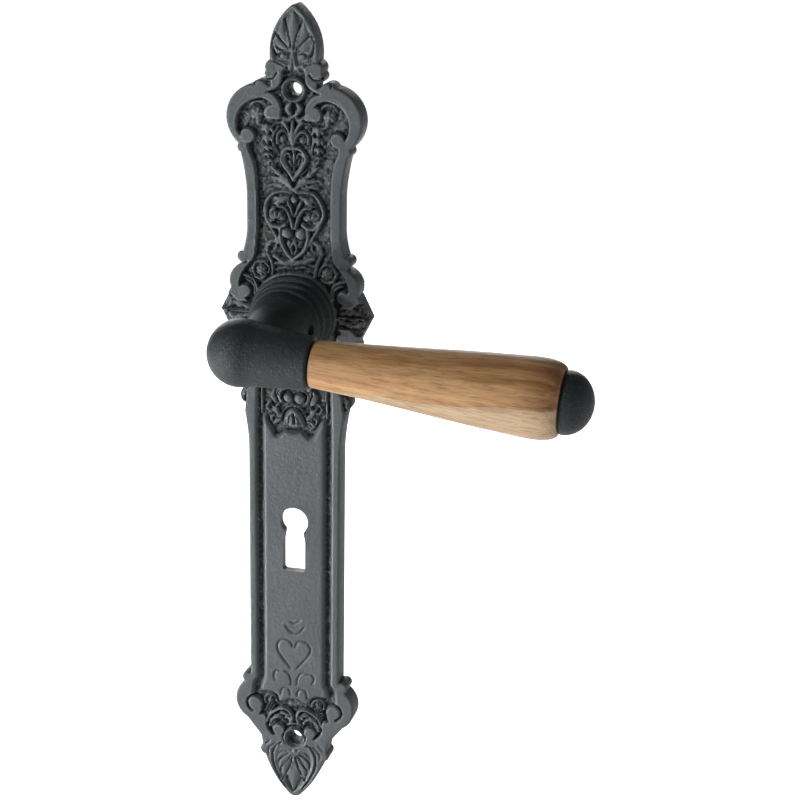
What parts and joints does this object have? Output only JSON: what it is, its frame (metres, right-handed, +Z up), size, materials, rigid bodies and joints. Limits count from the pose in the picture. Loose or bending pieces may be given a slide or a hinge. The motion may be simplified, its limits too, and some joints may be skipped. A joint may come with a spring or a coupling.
{
  "type": "door lever handle",
  "caption": "Lever door handle with a tapered wooden grip on a long ornamental cast backplate with a warded keyhole.",
  "frame": {"origin": "spindle axis where it meets the backplate's rear mounting face", "axes": "+X towards the grip's end, +Y into the door along the spindle, +Z up along the plate"},
  "size_m": [0.132, 0.1145, 0.2755],
  "materials": {
    "cast_plate": "matt charcoal black paint",
    "black_iron": "satin black",
    "bronze": "turned",
    "steel": "zinc plated",
    "spring_steel": "oiled",
    "nylon": "natural",
    "fibre": "black fibre",
    "wood": "oiled"
  },
  "bodies": {
    "plate": {"backplate": "cast_plate", "collar_ring": "black_iron", "bearing_bush": "bronze", "stop_pins": "steel", "return_spring": "spring_steel", "spring_cover": "steel", "cover_screws": "steel"},
    "lever": {"lever_body": "black_iron", "thrust_washer": "nylon", "spindle": "steel", "spindle_screw": "spring_steel", "driver_disc": "steel", "retaining_ring": "spring_steel", "grip_stud": "steel", "arm_washer": "fibre", "wooden_grip": "wood", "grip_dowel": "steel", "grip_nut": "steel", "cap_washer": "fibre", "grip_cap": "black_iron"}
  },
  "joints": [
    {"name": "lever_turn", "type": "hinge", "parent": "plate", "child": "lever", "pos_m": [0, 0, 0], "axis": [0, 1, 0], "range_deg": [0, 40], "stiffness_Nm_per_rad": 0.4, "springref_deg": -57.3, "deforming": ["return_spring"]}
  ]
}
